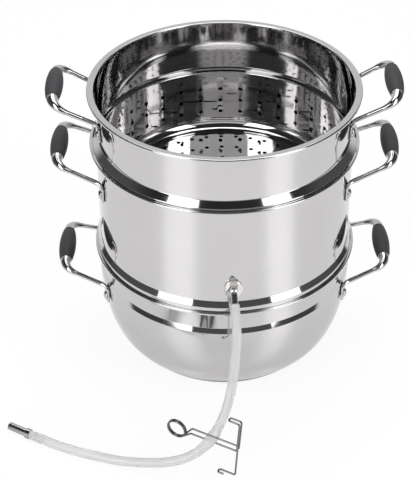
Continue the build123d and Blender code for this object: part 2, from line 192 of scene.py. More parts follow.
# Shapes
def rounded(points, radii, step=bend_step):
    """A line through points with an arc at each inner corner, every step degrees."""
    points = [Vector(point) for point in points]
    line = [points[0]]
    for before, at, after, radius in zip(points, points[1:], points[2:], radii):
        inward = (at - before).normalized()
        outward = (after - at).normalized()
        turn = inward.angle(outward)
        side = (outward - inward * inward.dot(outward)).normalized()
        start = at - inward * radius * tan(turn / 2)
        centre = start + side * radius
        count = max(2, round(degrees(turn) / step))
        for index in range(count + 1):
            angle = turn * index / count
            line.append(centre + (inward * sin(angle) - side * cos(angle)) * radius)
    return line + [points[-1]]


def spaced(line, step):
    """The same line with extra points, so that they lie about a step apart at most."""
    result = [line[0]]
    for start, end in zip(line, line[1:]):
        count = max(1, round((end - start).length / step))
        result += [start.lerp(end, index / count) for index in range(1, count + 1)]
    return result


def distances(line):
    """How far along the line each of its points lies."""
    result = [0.0]
    for start, end in zip(line, line[1:]):
        result.append(result[-1] + (end - start).length)
    return result


def around(angle):
    """The level direction at an angle round the Z axis, from X."""
    return Vector((cos(angle), sin(angle), 0))


def up_by(height):
    """A step straight up."""
    return Vector((0, 0, height))


def shade(mesh):
    """Smooth a mesh, with its creases kept sharp."""
    mesh.shade_smooth()
    mesh.set_sharp_from_angle(angle=crease_angle)


def make_mesh(name, vertices, faces):
    """A smooth mesh with its creases kept sharp, from millimetres."""
    mesh = bpy.data.meshes.new(name)
    mesh.from_pydata([Vector(vertex) * mm for vertex in vertices], [], faces)
    mesh.validate()
    shade(mesh)
    return mesh


def lathe_mesh(name, profile, count):
    """A profile of (radius, height) points turned round the Z axis."""
    vertices = []
    rows = []
    for radius, height in profile:
        on_axis = radius < 1e-6
        if on_axis:
            rows.append([len(vertices)] * count)
            vertices.append((0, 0, height))
            continue
        rows.append(list(range(len(vertices), len(vertices) + count)))
        for index in range(count):
            angle = 2 * pi * index / count
            vertices.append((radius * cos(angle), radius * sin(angle), height))
    faces = []
    for row, following in zip(rows, rows[1:]):
        for index in range(count):
            other = (index + 1) % count
            corners = [row[index], row[other], following[other], following[index]]
            faces.append(list(dict.fromkeys(corners)))
    return make_mesh(name, vertices, faces)


def frames(line, anchor, side):
    """A (side, up) pair square to the line at each point, carried along it without twist."""
    last = len(line) - 1
    directions = [(line[min(i + 1, last)] - line[max(i - 1, 0)]).normalized() for i in range(len(line))]
    sides = [None] * len(line)
    sides[anchor] = (side - directions[anchor] * side.dot(directions[anchor])).normalized()
    for order in (range(anchor + 1, len(line)), range(anchor - 1, -1, -1)):
        carried = sides[anchor]
        for index in order:
            carried = (carried - directions[index] * carried.dot(directions[index])).normalized()
            sides[index] = carried
    return [(side, direction.cross(side)) for side, direction in zip(sides, directions)]


def band_faces(rows, sides, closed=False):
    """Faces between rings of points, and from the last ring back to the first where they close."""
    faces = []
    for row in range(rows if closed else rows - 1):
        start = row * sides
        following = (row + 1) % rows * sides
        for index in range(sides):
            other = (index + 1) % sides
            faces.append([start + index, start + other, following + other, following + index])
    return faces


def loft(rings):
    """Vertices and faces of a closed skin through rings of points, with flat ends."""
    count = len(rings[0])
    vertices = [point for ring in rings for point in ring]
    faces = band_faces(len(rings), count)
    faces.append(list(range(count))[::-1])
    faces.append(list(range(len(vertices) - count, len(vertices))))
    return vertices, faces


def ring_points(centre, side, up, half_side, half_up, sides, squareness=2.0):
    """A ring round a centre: an ellipse at squareness 2, and squarer above it."""
    ring = []
    for index in range(sides):
        angle = 2 * pi * index / sides
        across = abs(cos(angle)) ** (2 / squareness) * (1 if cos(angle) >= 0 else -1)
        along = abs(sin(angle)) ** (2 / squareness) * (1 if sin(angle) >= 0 else -1)
        ring.append(centre + side * half_side * across + up * half_up * along)
    return ring


def joined(parts):
    """Several (vertices, faces) pairs as one."""
    vertices = []
    faces = []
    for part_vertices, part_faces in parts:
        faces += [[index + len(vertices) for index in face] for face in part_faces]
        vertices += part_vertices
    return vertices, faces


def evaluated_mesh(piece):
    """A piece's mesh as its modifiers or its curve give it."""
    bpy.context.view_layer.update()
    return bpy.data.meshes.new_from_object(piece.evaluated_get(bpy.context.evaluated_depsgraph_get()))


def finished(piece):
    """Turn a piece's modifiers into its plain mesh."""
    mesh = evaluated_mesh(piece)
    piece.modifiers.clear()
    piece.data = mesh
    return piece


def new_piece(name, mesh, material):
    """A new object of the juicer in its material."""
    piece = bpy.data.objects.new(name, mesh)
    bpy.context.scene.collection.objects.link(piece)
    if not mesh.materials:
        mesh.materials.append(material)
    return piece


def dress(piece, body, nodes):
    """Let a piece ride on its body in place of its nodes."""
    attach(piece, body)
    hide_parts(*nodes)


# Nodes, for materials and for geometry
def add_node(tree, kind, inputs=None, **settings):
    """Add a node, set its settings, and set or link its inputs."""
    node = tree.nodes.new(kind)
    for name, value in settings.items():
        setattr(node, name, value)
    for name, value in (inputs or {}).items():
        if isinstance(value, bpy.types.NodeSocket):
            tree.links.new(value, node.inputs[name])
        else:
            node.inputs[name].default_value = value
    return node


def linear(code):
    """An sRGB hex colour as the linear colour that a socket takes."""
    channels = [int(code[start:start + 2], 16) / 255 for start in (1, 3, 5)]
    return [c / 12.92 if c <= 0.04045 else ((c + 0.055) / 1.055) ** 2.4 for c in channels] + [1.0]


def per_mm(size):
    """The noise scale that gives features of a real size."""
    return 1 / (size * mm)


def noise(tree, place, size, detail, roughness=0.5):
    """Noise with features of a real size in millimetres."""
    texture = add_node(tree, "ShaderNodeTexNoise", {
        "Vector": place, "Scale": per_mm(size), "Detail": detail, "Roughness": roughness,
    })
    return texture.outputs["Fac"]


def blended(tree, factor, first, second):
    """A colour between two hex colours."""
    mix = add_node(tree, "ShaderNodeMix", {
        "Factor": factor, "A": linear(first), "B": linear(second),
    }, data_type="RGBA")
    return mix.outputs["Result"]


def ranged(tree, value, given, wanted, interpolation="LINEAR"):
    """A value carried from a given range into the wanted one, and held at its ends."""
    mapped = add_node(tree, "ShaderNodeMapRange", {
        "Value": value, "From Min": given[0], "From Max": given[1], "To Min": wanted[0], "To Max": wanted[1],
    }, interpolation_type=interpolation)
    return mapped.outputs["Result"]


def bumped(tree, height, strength, depth):
    """The normal of a surface with a relief of a real depth in millimetres."""
    bump = add_node(tree, "ShaderNodeBump", {"Height": height, "Strength": strength, "Distance": depth * mm})
    return bump.outputs["Normal"]


def worked_out(tree, operation, *values):
    """The result of one sum on values or sockets."""
    return add_node(tree, "ShaderNodeMath", dict(enumerate(values)), operation=operation).outputs[0]


def mix_shader(tree, share, first, second):
    """Two shaders, with the second one's share."""
    return add_node(tree, "ShaderNodeMixShader", {"Fac": share, 1: first, 2: second}).outputs[0]


def new_material(name):
    """An empty node material and its tree."""
    material = bpy.data.materials.new(name)
    material.use_nodes = True
    material.node_tree.nodes.clear()
    return material, material.node_tree


def object_place(tree):
    """The place on the piece, in metres."""
    return add_node(tree, "ShaderNodeTexCoord").outputs["Object"]


def principled(tree, inputs):
    """The material's shader, joined to its output."""
    shader = add_node(tree, "ShaderNodeBsdfPrincipled", inputs)
    add_node(tree, "ShaderNodeOutputMaterial", {"Surface": shader.outputs["BSDF"]})


haze_patch = 45.0
cloud_range = (0.3, 0.7)


def polished_steel(name, light, dark, smooth, rough, grain, grain_depth, stretch=(1, 1, 1), anisotropy=0.0):
    """18/10 stainless steel, drawn or pressed and then mirror-polished on a turning wheel.

    The eye sees sharp reflections, drawn out a little up and down by the fine polishing lines that run round
    the pot, and patches of handling haze.
    """
    material, tree = new_material(name)
    place = object_place(tree)
    lines = add_node(tree, "ShaderNodeMapping", {"Vector": place, "Scale": stretch}).outputs["Vector"]
    grain_height = noise(tree, lines, grain, 3.0, roughness=0.6)
    haze = noise(tree, place, haze_patch, 4.0)
    inputs = {
        "Base Color": blended(tree, haze, light, dark), "Metallic": 1.0,
        "Roughness": ranged(tree, haze, cloud_range, (smooth, rough)),
        "Normal": bumped(tree, grain_height, 0.15, grain_depth), "Anisotropic": anisotropy,
    }
    if anisotropy:
        round_axis = add_node(tree, "ShaderNodeTangent", direction_type="RADIAL", axis="Z")
        inputs["Tangent"] = round_axis.outputs["Tangent"]
    principled(tree, inputs)
    return material


steel = polished_steel(
    "mirror_polished_stainless_steel", light="#d3d2d2", dark="#cbcaca", smooth=0.04, rough=0.08,
    grain=0.9, grain_depth=0.004, stretch=(0.02, 0.02, 1), anisotropy=0.4,
)
# Base disc: the satin roughness is real, but the colour is painted shade, darker than the pot steel so that
# its edge reads as the dark line under the pan
painted_dark_satin_steel = polished_steel(
    "satin_stainless_steel", light="#b3b2b1", dark="#a9a8a7", smooth=0.2, rough=0.3,
    grain=0.6, grain_depth=0.01,
)
bar_steel = polished_steel(
    "polished_stainless_bar", light="#cecdcc", dark="#c2c1c0", smooth=0.06, rough=0.1,
    grain=1.2, grain_depth=0.004,
)
# Spout fittings: the colour is painted light, much paler than the pot steel so that the nut and tube look
# lamp-lit white
painted_bright_fitting_steel = polished_steel(
    "turned_stainless_fitting", light="#f3f2f1", dark="#e8e7e6", smooth=0.1, rough=0.18,
    grain=0.6, grain_depth=0.005,
)
# Hose end tube: the colour is painted shade, darker than the pot steel in place of dark reflections
painted_dark_tube_steel = polished_steel(
    "drawn_stainless_tube", light="#b5b4b3", dark="#a3a2a1", smooth=0.12, rough=0.2,
    grain=0.8, grain_depth=0.006,
)
# Clamp wire: the colour is painted shade, dark grey in place of the dark room's reflections in the wire
painted_dark_wire_steel = polished_steel(
    "nickel_plated_spring_wire", light="#858483", dark="#6f6e6d", smooth=0.1, rough=0.18,
    grain=0.5, grain_depth=0.006,
)


def moulded_grip():
    """Thermoplastic rubber, moulded onto the bar: charcoal, matt, with a fine spark-eroded grain."""
    material, tree = new_material("moulded_charcoal_rubber")
    place = object_place(tree)
    grain = noise(tree, place, 0.7, 4.0)
    wear = noise(tree, place, 18, 3.0)
    principled(tree, {
        "Base Color": blended(tree, wear, "#313134", "#3a3a3d"),
        "Roughness": ranged(tree, wear, cloud_range, (0.52, 0.66)), "IOR": 1.5, "Specular IOR Level": 0.4,
        "Normal": bumped(tree, grain, 0.35, 0.06),
    })
    return material


def milky_hose():
    """Extruded silicone hose: milky, lets light through, with faint draw marks and a soft gloss."""
    material, tree = new_material("translucent_silicone_hose")
    place = object_place(tree)
    cloud = noise(tree, place, 14, 3.0)
    marks = noise(tree, place, 1.5, 2.0)
    principled(tree, {
        "Base Color": blended(tree, cloud, "#f4f4f5", "#ececed"), "Roughness": 0.16, "IOR": 1.41,
        "Transmission Weight": 0.62, "Normal": bumped(tree, marks, 0.2, 0.05),
    })
    return material


def gasket_rubber():
    """Moulded silicone seal: off-white and matt."""
    material, tree = new_material("moulded_silicone_gasket")
    place = object_place(tree)
    cloud = noise(tree, place, 4, 3.0)
    principled(tree, {
        "Base Color": blended(tree, cloud, "#d4d1cb", "#c6c3bd"), "Roughness": 0.5, "IOR": 1.41,
    })
    return material


grip_rubber = moulded_grip()
hose_silicone = milky_hose()
gasket_silicone = gasket_rubber()


# Geometry Nodes: holes through a shell, and rivet heads
def node_group(name, sockets):
    """A Geometry Nodes tree with a geometry in and out and named inputs."""
    tree = bpy.data.node_groups.new(name, "GeometryNodeTree")
    tree.interface.new_socket("Geometry", in_out="INPUT", socket_type="NodeSocketGeometry")
    for socket_name, kind in sockets:
        tree.interface.new_socket(socket_name, in_out="INPUT", socket_type=kind)
    tree.interface.new_socket("Geometry", in_out="OUTPUT", socket_type="NodeSocketGeometry")
    return tree


def outward_turn(tree):
    """The rotation that sets an instance along its point's outward attribute."""
    named = add_node(tree, "GeometryNodeInputNamedAttribute", {"Name": "outward"}, data_type="FLOAT_VECTOR")
    outward = named.outputs["Attribute"]
    turn = add_node(tree, "FunctionNodeAlignRotationToVector", {"Vector": outward}, axis="Z")
    return turn.outputs["Rotation"]


def give_out(tree, geometry, material):
    """Cover a geometry in a material and join it to the tree's output."""
    covered = add_node(tree, "GeometryNodeSetMaterial", {"Geometry": geometry, "Material": material})
    add_node(tree, "NodeGroupOutput", {"Geometry": covered.outputs["Geometry"]})


def perforating_nodes():
    """Round holes bored along the outward attribute of a cloud of points."""
    tree = node_group("perforate", [
        ("Holes", "NodeSocketObject"), ("Hole Radius", "NodeSocketFloat"), ("Depth", "NodeSocketFloat"),
        ("Sides", "NodeSocketInt"), ("Material", "NodeSocketMaterial"),
    ])
    given = add_node(tree, "NodeGroupInput").outputs
    holes = add_node(tree, "GeometryNodeObjectInfo", {"Object": given["Holes"]})
    drill = add_node(tree, "GeometryNodeMeshCylinder", {
        "Vertices": given["Sides"], "Radius": given["Hole Radius"], "Depth": given["Depth"],
    })
    drills = add_node(tree, "GeometryNodeInstanceOnPoints", {
        "Points": holes.outputs["Geometry"], "Instance": drill.outputs["Mesh"],
        "Rotation": outward_turn(tree),
    })
    solid_drills = add_node(tree, "GeometryNodeRealizeInstances", {"Geometry": drills.outputs["Instances"]})
    cut = add_node(tree, "GeometryNodeMeshBoolean", {
        "Mesh 1": given["Geometry"], "Mesh 2": solid_drills.outputs["Geometry"],
    }, operation="DIFFERENCE", solver="EXACT")
    real = add_node(tree, "GeometryNodeRealizeInstances", {"Geometry": cut.outputs["Mesh"]})
    give_out(tree, real.outputs["Geometry"], given["Material"])
    return tree


def riveting_nodes():
    """A domed rivet head on each point, set along its outward attribute."""
    tree = node_group("rivet_heads", [
        ("Head Radius", "NodeSocketFloat"), ("Head Height", "NodeSocketFloat"), ("Segments", "NodeSocketInt"),
        ("Material", "NodeSocketMaterial"),
    ])
    given = add_node(tree, "NodeGroupInput").outputs
    size = add_node(tree, "ShaderNodeCombineXYZ", {
        "X": given["Head Radius"], "Y": given["Head Radius"], "Z": given["Head Height"],
    })
    dome = add_node(tree, "GeometryNodeMeshUVSphere", {
        "Segments": given["Segments"], "Rings": rivet_rings, "Radius": 1.0,
    })
    heads = add_node(tree, "GeometryNodeInstanceOnPoints", {
        "Points": given["Geometry"], "Instance": dome.outputs["Mesh"], "Rotation": outward_turn(tree),
        "Scale": size.outputs["Vector"],
    })
    real = add_node(tree, "GeometryNodeRealizeInstances", {"Geometry": heads.outputs["Instances"]})
    smooth = add_node(tree, "GeometryNodeSetShadeSmooth", {"Geometry": real.outputs["Geometry"]})
    give_out(tree, smooth.outputs["Geometry"], given["Material"])
    return tree


def with_nodes(piece, tree, values):
    """Run a Geometry Nodes tree on a piece with its named inputs set, and keep its plain mesh."""
    modifier = piece.modifiers.new(tree.name, "NODES")
    modifier.node_group = tree
    for item in tree.interface.items_tree:
        if item.in_out == "INPUT" and item.name in values:
            modifier[item.identifier] = values[item.name]
    return finished(piece)


def points_object(name, places):
    """A cloud of points, each with its outward direction, from (place, outward) pairs."""
    mesh = bpy.data.meshes.new(name)
    mesh.from_pydata([place * mm for place, outward in places], [], [])
    attribute = mesh.attributes.new("outward", "FLOAT_VECTOR", "POINT")
    for index, (place, outward) in enumerate(places):
        attribute.data[index].vector = outward
    cloud = bpy.data.objects.new(name, mesh)
    bpy.context.scene.collection.objects.link(cloud)
    return cloud


perforate = perforating_nodes()
rivet_heads = riveting_nodes()


def perforated(piece, places, radius, depth, sides, material):
    """Bore round holes through a piece."""
    cloud = points_object(piece.name + "_holes", places)
    with_nodes(piece, perforate, {
        "Holes": cloud, "Hole Radius": radius * mm, "Depth": depth * mm, "Sides": sides, "Material": material,
    })
    bpy.data.objects.remove(cloud)
    shade(piece.data)


# Pots
def lip(height):
    """The pressed lip's upper face, from its turned-down edge inwards."""
    return [(lip_radius, 0, height - lip_drop), (lip_radius, 0, height), (wall_inside, 0, height)]


def outline(points, radii):
    """A pot's food side as (radius, height) points with its bends rounded."""
    return [(point.x, point.z) for point in rounded(points, radii)]


def shell(name, line, material, count=pot_segments, above=False):
    """A pressed sheet: the line turned round the axis, with the sheet's thickness below it or above."""
    piece = new_piece(name, lathe_mesh(name, line, count), material)
    wall = piece.modifiers.new("sheet", "SOLIDIFY")
    wall.thickness = sheet * mm
    wall.offset = 1.0 if above else -1.0
    wall.use_even_offset = True
    finished(piece)
    shade(piece.data)
    return piece


lip_bends = [lip_edge_bend, lip_wall_bend]
collar_bottom = pan_lip_height - collar_height
bowl_top = collar_bottom - step_height
bowl_width = bowl_radius - bowl_flat_radius
bowl_depth = bowl_top - base_thickness

pan_line = outline(
    lip(pan_lip_height) + [
        (wall_inside, 0, collar_bottom),
        (bowl_radius - sheet, 0, bowl_top),
        (bowl_radius - sheet, 0, bowl_top - sheet),
    ],
    lip_bends + [flare_bend, bead_bend],
)
for step in range(1, bowl_steps + 1):
    angle = pi / 2 * step / bowl_steps
    bowl_height = bowl_top - (bowl_depth - sheet) * sin(angle)
    if bowl_height < bowl_top - sheet:
        pan_line.append((bowl_flat_radius + (bowl_width - sheet) * cos(angle), bowl_height))
pan_line.append((0, base_thickness + sheet))
pan = shell("pan_shell", pan_line, steel)
dress(pan, "pan", ["water_pan"])

bead_inside = wall_radius + bead_width - sheet
kettle_line = outline(
    lip(kettle_lip_height) + [
        (wall_inside, 0, pan_lip_height + kettle_bead_height),
        (bead_inside, 0, pan_lip_height + kettle_bead_edge),
        (bead_inside, 0, pan_lip_height + sheet),
        (kettle_nest_radius - sheet, 0, pan_lip_height + sheet),
        (kettle_nest_radius - sheet, 0, kettle_floor + sheet),
        (cone_radius, 0, kettle_floor + sheet),
    ],
    lip_bends + [flare_bend, flare_bend, bead_bend, nest_bend, kettle_floor_bend],
)
kettle = shell("kettle_shell", kettle_line, steel)
dress(kettle, "kettle", ["juice_kettle"])

cone_base = kettle_floor + sheet
cone_line = outline(
    [
        (cone_radius + cone_flange, 0, cone_base),
        (cone_radius, 0, cone_base),
        (cone_top_radius, 0, cone_base + cone_height),
        (0, 0, cone_base + cone_height + cone_crown),
    ],
    [cone_bend, cone_bend],
)
cone = shell("steam_cone_shell", cone_line, steel, count=cone_segments, above=True)
cone_hole_place = up_by(cone_base + cone_height - cone_hole_drop)
cone_holes = []
for index in range(cone_hole_count):
    outward = around(2 * pi * index / cone_hole_count + pi / 2)
    cone_holes.append((outward * cone_radius / 2 + cone_hole_place, outward))
perforated(cone, cone_holes, cone_hole_radius, cone_radius, cone_hole_sides, steel)
dress(cone, "kettle", ["steam_cone"])

basket_bead_top = kettle_lip_height + basket_bead_height
basket_floor_top = basket_floor + sheet
basket_line = outline(
    lip(basket_lip_height) + [
        (basket_neck_radius - sheet, 0, basket_bead_top),
        (bead_inside, 0, kettle_lip_height + sheet),
        (basket_nest_radius - sheet, 0, kettle_lip_height + sheet),
        (basket_nest_radius - sheet, 0, basket_floor_top),
        (0, 0, basket_floor_top),
    ],
    lip_bends + [flare_bend, bead_bend, nest_bend, basket_floor_bend],
)
basket = shell("basket_shell", basket_line, steel)
basket_holes = [(up_by(basket_floor_top), up_by(1))]
for ring in range(1, floor_ring_count + 1):
    count = ring * floor_holes_per_ring
    for index in range(count):
        place = around(2 * pi * index / count) * ring * floor_hole_pitch
        basket_holes.append((place + up_by(basket_floor_top), up_by(1)))
for row in range(wall_hole_rows):
    height = basket_floor + basket_floor_bend + (row + 0.5) * wall_hole_pitch
    for index in range(wall_hole_columns):
        outward = around(2 * pi * index / wall_hole_columns + pi / 2)
        basket_holes.append((outward * basket_nest_radius + up_by(height), outward))
perforated(basket, basket_holes, floor_hole_radius, drill_depth, basket_hole_sides, steel)
dress(basket, "basket", ["steamer_basket"])

# Handles
basket_slope = (wall_radius - basket_neck_radius) / (basket_lip_height - basket_bead_top)
basket_tab_radius = basket_neck_radius + (rivet_heights["basket"] - basket_bead_top) * basket_slope
tab_walls = {
    "pan": (bowl_radius, 0.0),
    "kettle": (wall_radius, 0.0),
    "basket": (basket_tab_radius, atan(basket_slope)),
}
handle_sides = {"left": -1, "right": 1}
grip_half = grip_length / 2


def handle_axes(pot):
    """A pot's own directions: towards its right-hand handles, and towards its back."""
    turn = radians(turns[pot])
    return around(turn), Vector((-sin(turn), cos(turn), 0))


def tab_axes(pot, side, end):
    """A tab's rivet place on the wall, its upward and its outward direction."""
    radius, tilt = tab_walls[pot]
    rightward, backward = handle_axes(pot)
    angle = radians(tab_angles[pot])
    outward = rightward * side * cos(angle) + backward * end * sin(angle)
    place = outward * radius + up_by(rivet_heights[pot])
    upward = outward * sin(tilt) + up_by(cos(tilt))
    normal = outward * cos(tilt) - up_by(sin(tilt))
    return place, upward, normal


def ease(value):
    """A smooth step from 0 to 1."""
    value = min(1.0, max(0.0, value))
    return value * value * (3 - 2 * value)


def half_rod(pot, side, end):
    """One half of a handle's bar: from its pressed tab up the arm and round into the grip."""
    place, upward, normal = tab_axes(pot, side, end)
    rightward, backward = handle_axes(pot)
    centre = rightward * side * grip_x + up_by(grip_heights[pot])
    middle = normal * tab_thickness / 2
    corner = centre + backward * end * (grip_half + arm_reach)
    tab_end = place + middle - upward * tab_below_rivet
    arm_start = place + middle + upward * tab_bend_height
    line = spaced(rounded([tab_end, arm_start, corner, centre], [tab_bend, corner_radius]), bar_step)
    along = distances(line)
    fade_start = tab_below_rivet + tab_bend_height - tab_bend
    grip_edge_at = along[-1] - grip_half
    axes = frames(line, 0, upward.cross(normal))
    rings = []
    for point, travel, (across, up) in zip(line, along, axes):
        flat = 1 - ease((travel - fade_start) / tab_fade)
        flare = 0.0
        if travel <= grip_edge_at:
            flare = max(0.0, 1 - (grip_edge_at - travel) / horn_length) ** horn_curve
        radius = rod_radius + (horn_radius - rod_radius) * flare
        half_width = radius + (tab_width / 2 - rod_radius) * flat
        half_thickness = radius + (tab_thickness / 2 - rod_radius) * flat
        if travel < tab_round:
            half_width *= max(tab_tip_width_share, sqrt(1 - (1 - travel / tab_round) ** 2))
            tip_rise = ease(2 * travel / tab_round)
            half_thickness *= tab_tip_thickness_share + (1 - tab_tip_thickness_share) * tip_rise
        squareness = 2 + tab_squareness * flat
        rings.append(ring_points(point, across, up, half_width, half_thickness, bar_sides, squareness))
    return loft(rings)


def grip_mesh(name, pot, side):
    """The barrel-shaped grip, lying along the pot's own Y."""
    swell = grip_mid_radius - grip_end_radius
    arc_radius = (grip_half**2 + swell**2) / (2 * swell)
    reach = asin(grip_half / arc_radius)
    line = [(rod_radius, -grip_half), (grip_end_radius - grip_edge, -grip_half)]
    for index in range(grip_steps + 1):
        angle = reach * (2 * index / grip_steps - 1)
        radius = grip_mid_radius - arc_radius * (1 - cos(angle))
        along = arc_radius * sin(angle)
        end_share = max(0.0, 1 - (grip_half - abs(along)) / grip_edge)
        radius -= grip_edge * (1 - sqrt(max(0.0, 1 - end_share**2)))
        line.append((radius, along))
    line += [(grip_end_radius - grip_edge, grip_half), (rod_radius, grip_half)]
    mesh = lathe_mesh(name, line, grip_segments)
    centre = handle_axes(pot)[0] * side * grip_x + up_by(grip_heights[pot])
    turn = Matrix.Rotation(radians(turns[pot]), 4, "Z")
    mesh.transform(Matrix.Translation(centre * mm) @ turn @ Matrix.Rotation(-pi / 2, 4, "X"))
    return mesh


def rivet_piece(name, places, radius, height):
    """Domed rivet heads as one piece, from (place, outward) pairs."""
    return with_nodes(points_object(name, places), rivet_heads, {
        "Head Radius": radius * mm, "Head Height": height * mm, "Segments": rivet_segments,
        "Material": bar_steel,
    })


for pot in turns:
    rivet_places = []
    inner_places = []
    for side_name, side in handle_sides.items():
        name = f"{pot}_bar_{side_name}"
        halves = joined([half_rod(pot, side, end) for end in (-1, 1)])
        bar = new_piece(name, make_mesh(name, *halves), bar_steel)
        dress(bar, pot, [f"{pot}_handle_{side_name}"])
        name = f"{pot}_moulded_grip_{side_name}"
        grip = new_piece(name, grip_mesh(name, pot, side), grip_rubber)
        dress(grip, pot, [f"{pot}_grip_{side_name}"])
        for end in (-1, 1):
            place, upward, normal = tab_axes(pot, side, end)
            rivet_places.append((place + normal * tab_thickness, normal))
            inner_places.append((place - normal * sheet, -normal))
    rivets = rivet_piece(f"{pot}_rivet_heads", rivet_places, rivet_head_radius, rivet_head_height)
    dress(rivets, pot, [f"{pot}_rivets_{side_name}" for side_name in handle_sides])
    inner = rivet_piece(f"{pot}_inner_rivet_heads", inner_places, rivet_inner_radius, rivet_inner_height)
    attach(inner, pot)

# Drain spout, hose end and base disc: the frame's own pieces in the scene's materials, with painted light in
# the spout fittings' pale colour and painted shade in the hose end's and base disc's dark colours
node_materials = {
    "spout_washer": painted_bright_fitting_steel,
    "spout_nut": painted_bright_fitting_steel,
    "spout_lock_nut": painted_bright_fitting_steel,
    "spout_tube": painted_bright_fitting_steel,
    "hose_end_tube": painted_dark_tube_steel,
    "spout_outer_gasket": gasket_silicone,
    "spout_inner_gasket": gasket_silicone,
    "pan_base_disc": painted_dark_satin_steel,
}
for node, material in node_materials.items():
    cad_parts[node].material_slots[0].material = material
spout_angle = radians(spout_turn)
spout_out = Vector((sin(spout_angle), -cos(spout_angle), 0))
tip_direction = spout_out * cos(radians(spout_dip)) - up_by(sin(radians(spout_dip)))
elbow = spout_out * elbow_reach + up_by(spout_height)

# Hose: the route that the solid follows, as the control points of one smooth line
hose_start = elbow + tip_direction * hose_gap
route = [
    hose_start,
    hose_start + tip_direction * hose_first_run,
    (7.0, -178.0, 140.0),
    (6.0, -189.0, 123.0),
    (4.0, -198.0, 103.0),
    (0.0, -208.0, 80.0),
    (-6.0, -218.0, 62.0),
    (-15.0, -231.0, 48.0),
    (-28.0, -242.6, 36.0),
    (-46.0, -249.0, 27.0),
    (-67.0, -247.0, 19.0),
    (-90.0, -239.0, 11.0),
    (-115.0, -231.5, 6.2),
    (-140.0, -222.6, 5.0),
    (-165.0, -213.8, 5.0),
    (-190.0, -202.2, 5.0),
    (-214.5, -188.0, 5.6),
]
route = [Vector(point) for point in route]
clamp_run = 7
jaw_centre = (route[clamp_run] + route[clamp_run + 1]) / 2


def smooth_line(points):
    """Points along the smooth line that has these control points."""
    curve = bpy.data.curves.new("hose_route", "CURVE")
    curve.dimensions = "3D"
    curve.resolution_u = 12
    spline = curve.splines.new("NURBS")
    spline.points.add(len(points) - 1)
    for control, point in zip(spline.points, points):
        control.co = (*point, 1.0)
    spline.order_u = 3
    spline.use_endpoint_u = True
    holder = bpy.data.objects.new("hose_route", curve)
    bpy.context.scene.collection.objects.link(holder)
    line = [vertex.co.copy() for vertex in evaluated_mesh(holder).vertices]
    bpy.data.objects.remove(holder)
    return line


hose_line = smooth_line(route)
jaw_along = around(radians(jaw_skew))
jaw_across = jaw_along.cross(up_by(1))
pinch_at = min(range(len(hose_line)), key=lambda index: (hose_line[index] - jaw_centre).length)
hose_along = distances(hose_line)
hose_frames = frames(hose_line, pinch_at, jaw_along)
outer_rings = []
bore_rings = []
hose_wall = hose_radius - hose_bore
for point, travel, (across, up) in zip(hose_line, hose_along, hose_frames):
    pinch = 1 - ease(abs(travel - hose_along[pinch_at]) / pinch_spread)
    half_width = hose_radius + (pinch_half_width - hose_radius) * pinch
    half_thickness = hose_radius + (pinch_half_thickness - hose_radius) * pinch
    outer_rings.append(ring_points(point, across, up, half_width, half_thickness, hose_sides))
    bore_width = half_width - hose_wall
    bore_thickness = max(pinched_bore, half_thickness - hose_wall)
    bore_rings.append(ring_points(point, across, up, bore_width, bore_thickness, hose_sides))
hose_rings = outer_rings + bore_rings[::-1]
hose_mesh = make_mesh(
    "silicone_hose", [point for ring in hose_rings for point in ring],
    band_faces(len(hose_rings), hose_sides, closed=True),
)
hose = new_piece("silicone_hose", hose_mesh, hose_silicone)
dress(hose, "kettle", ["drain_hose"])

# Pinch clamp
half_gap = jaw_gap / 2
foot_level = wire_radius + foot_clearance - jaw_centre.z


def clamp_point(along, up, across):
    """A point in the clamp's own frame, measured from where the hose is pinched."""
    return jaw_centre + jaw_along * along + up_by(up) + jaw_across * across


def clamp_ring_point(angle, across):
    """A point on the clamp's ring, at an angle in degrees."""
    along = -ring_distance + ring_radius * cos(radians(angle))
    return clamp_point(along, -ring_drop + ring_radius * sin(radians(angle)), across)


def clamp_wire(name, leave, level, across, tab):
    """One arm of the clamp: its turn of the ring, its jaw and its thumb tab or foot.

    It leaves the ring at an angle in degrees, and its jaw lies at a level from the middle of the hose.
    """
    start = leave + coil_opening
    sweep = 360 - coil_opening
    ring = [clamp_ring_point(start + sweep * step / ring_steps, across) for step in range(ring_steps)]
    leave_up = -ring_drop + ring_radius * sin(radians(leave))
    leave_along = -ring_distance + ring_radius * cos(radians(leave))
    neck = clamp_point(leave_along - (level - leave_up) * tan(radians(leave)), level, across)
    bends = [clamp_ring_point(leave + 360, across), neck, clamp_point(jaw_reach, level, across), *tab]
    line = spaced(ring + rounded(bends, [wire_bend] * len(bends), wire_bend_step), wire_step)
    rings = [
        ring_points(point, side, up, wire_radius, wire_radius, wire_sides)
        for point, (side, up) in zip(line, frames(line, 0, jaw_across))
    ]
    return new_piece(name, make_mesh(name, *loft(rings)), painted_dark_wire_steel)


tab_top = jaw_reach + tab_lean
tab_tip = tab_top - tab_return
far_wire = wire_stagger - hook_spacing
lower_wire = clamp_wire("clamp_lower_wire", lower_exit, -half_gap, wire_stagger, [
    clamp_point(tab_top, tab_rise, wire_stagger),
    clamp_point(tab_tip, tab_rise, wire_stagger),
    clamp_point(tab_tip, tab_rise, far_wire),
    clamp_point(tab_top, tab_rise, far_wire),
    clamp_point(jaw_reach, -half_gap, far_wire),
])
dress(lower_wire, "kettle", ["clamp_lower_jaw"])
foot_end = jaw_reach - tab_lean
foot_tip = foot_end - foot_return
near_wire = hook_spacing - wire_stagger
upper_wire = clamp_wire("clamp_upper_wire", upper_exit, half_gap, -wire_stagger, [
    clamp_point(foot_end, foot_level, -wire_stagger),
    clamp_point(foot_tip, foot_level, -wire_stagger),
    clamp_point(foot_tip, foot_level, near_wire),
    clamp_point(foot_tip + hook_tail, foot_level, near_wire),
])
dress(upper_wire, "clamp", ["clamp_upper_jaw"])

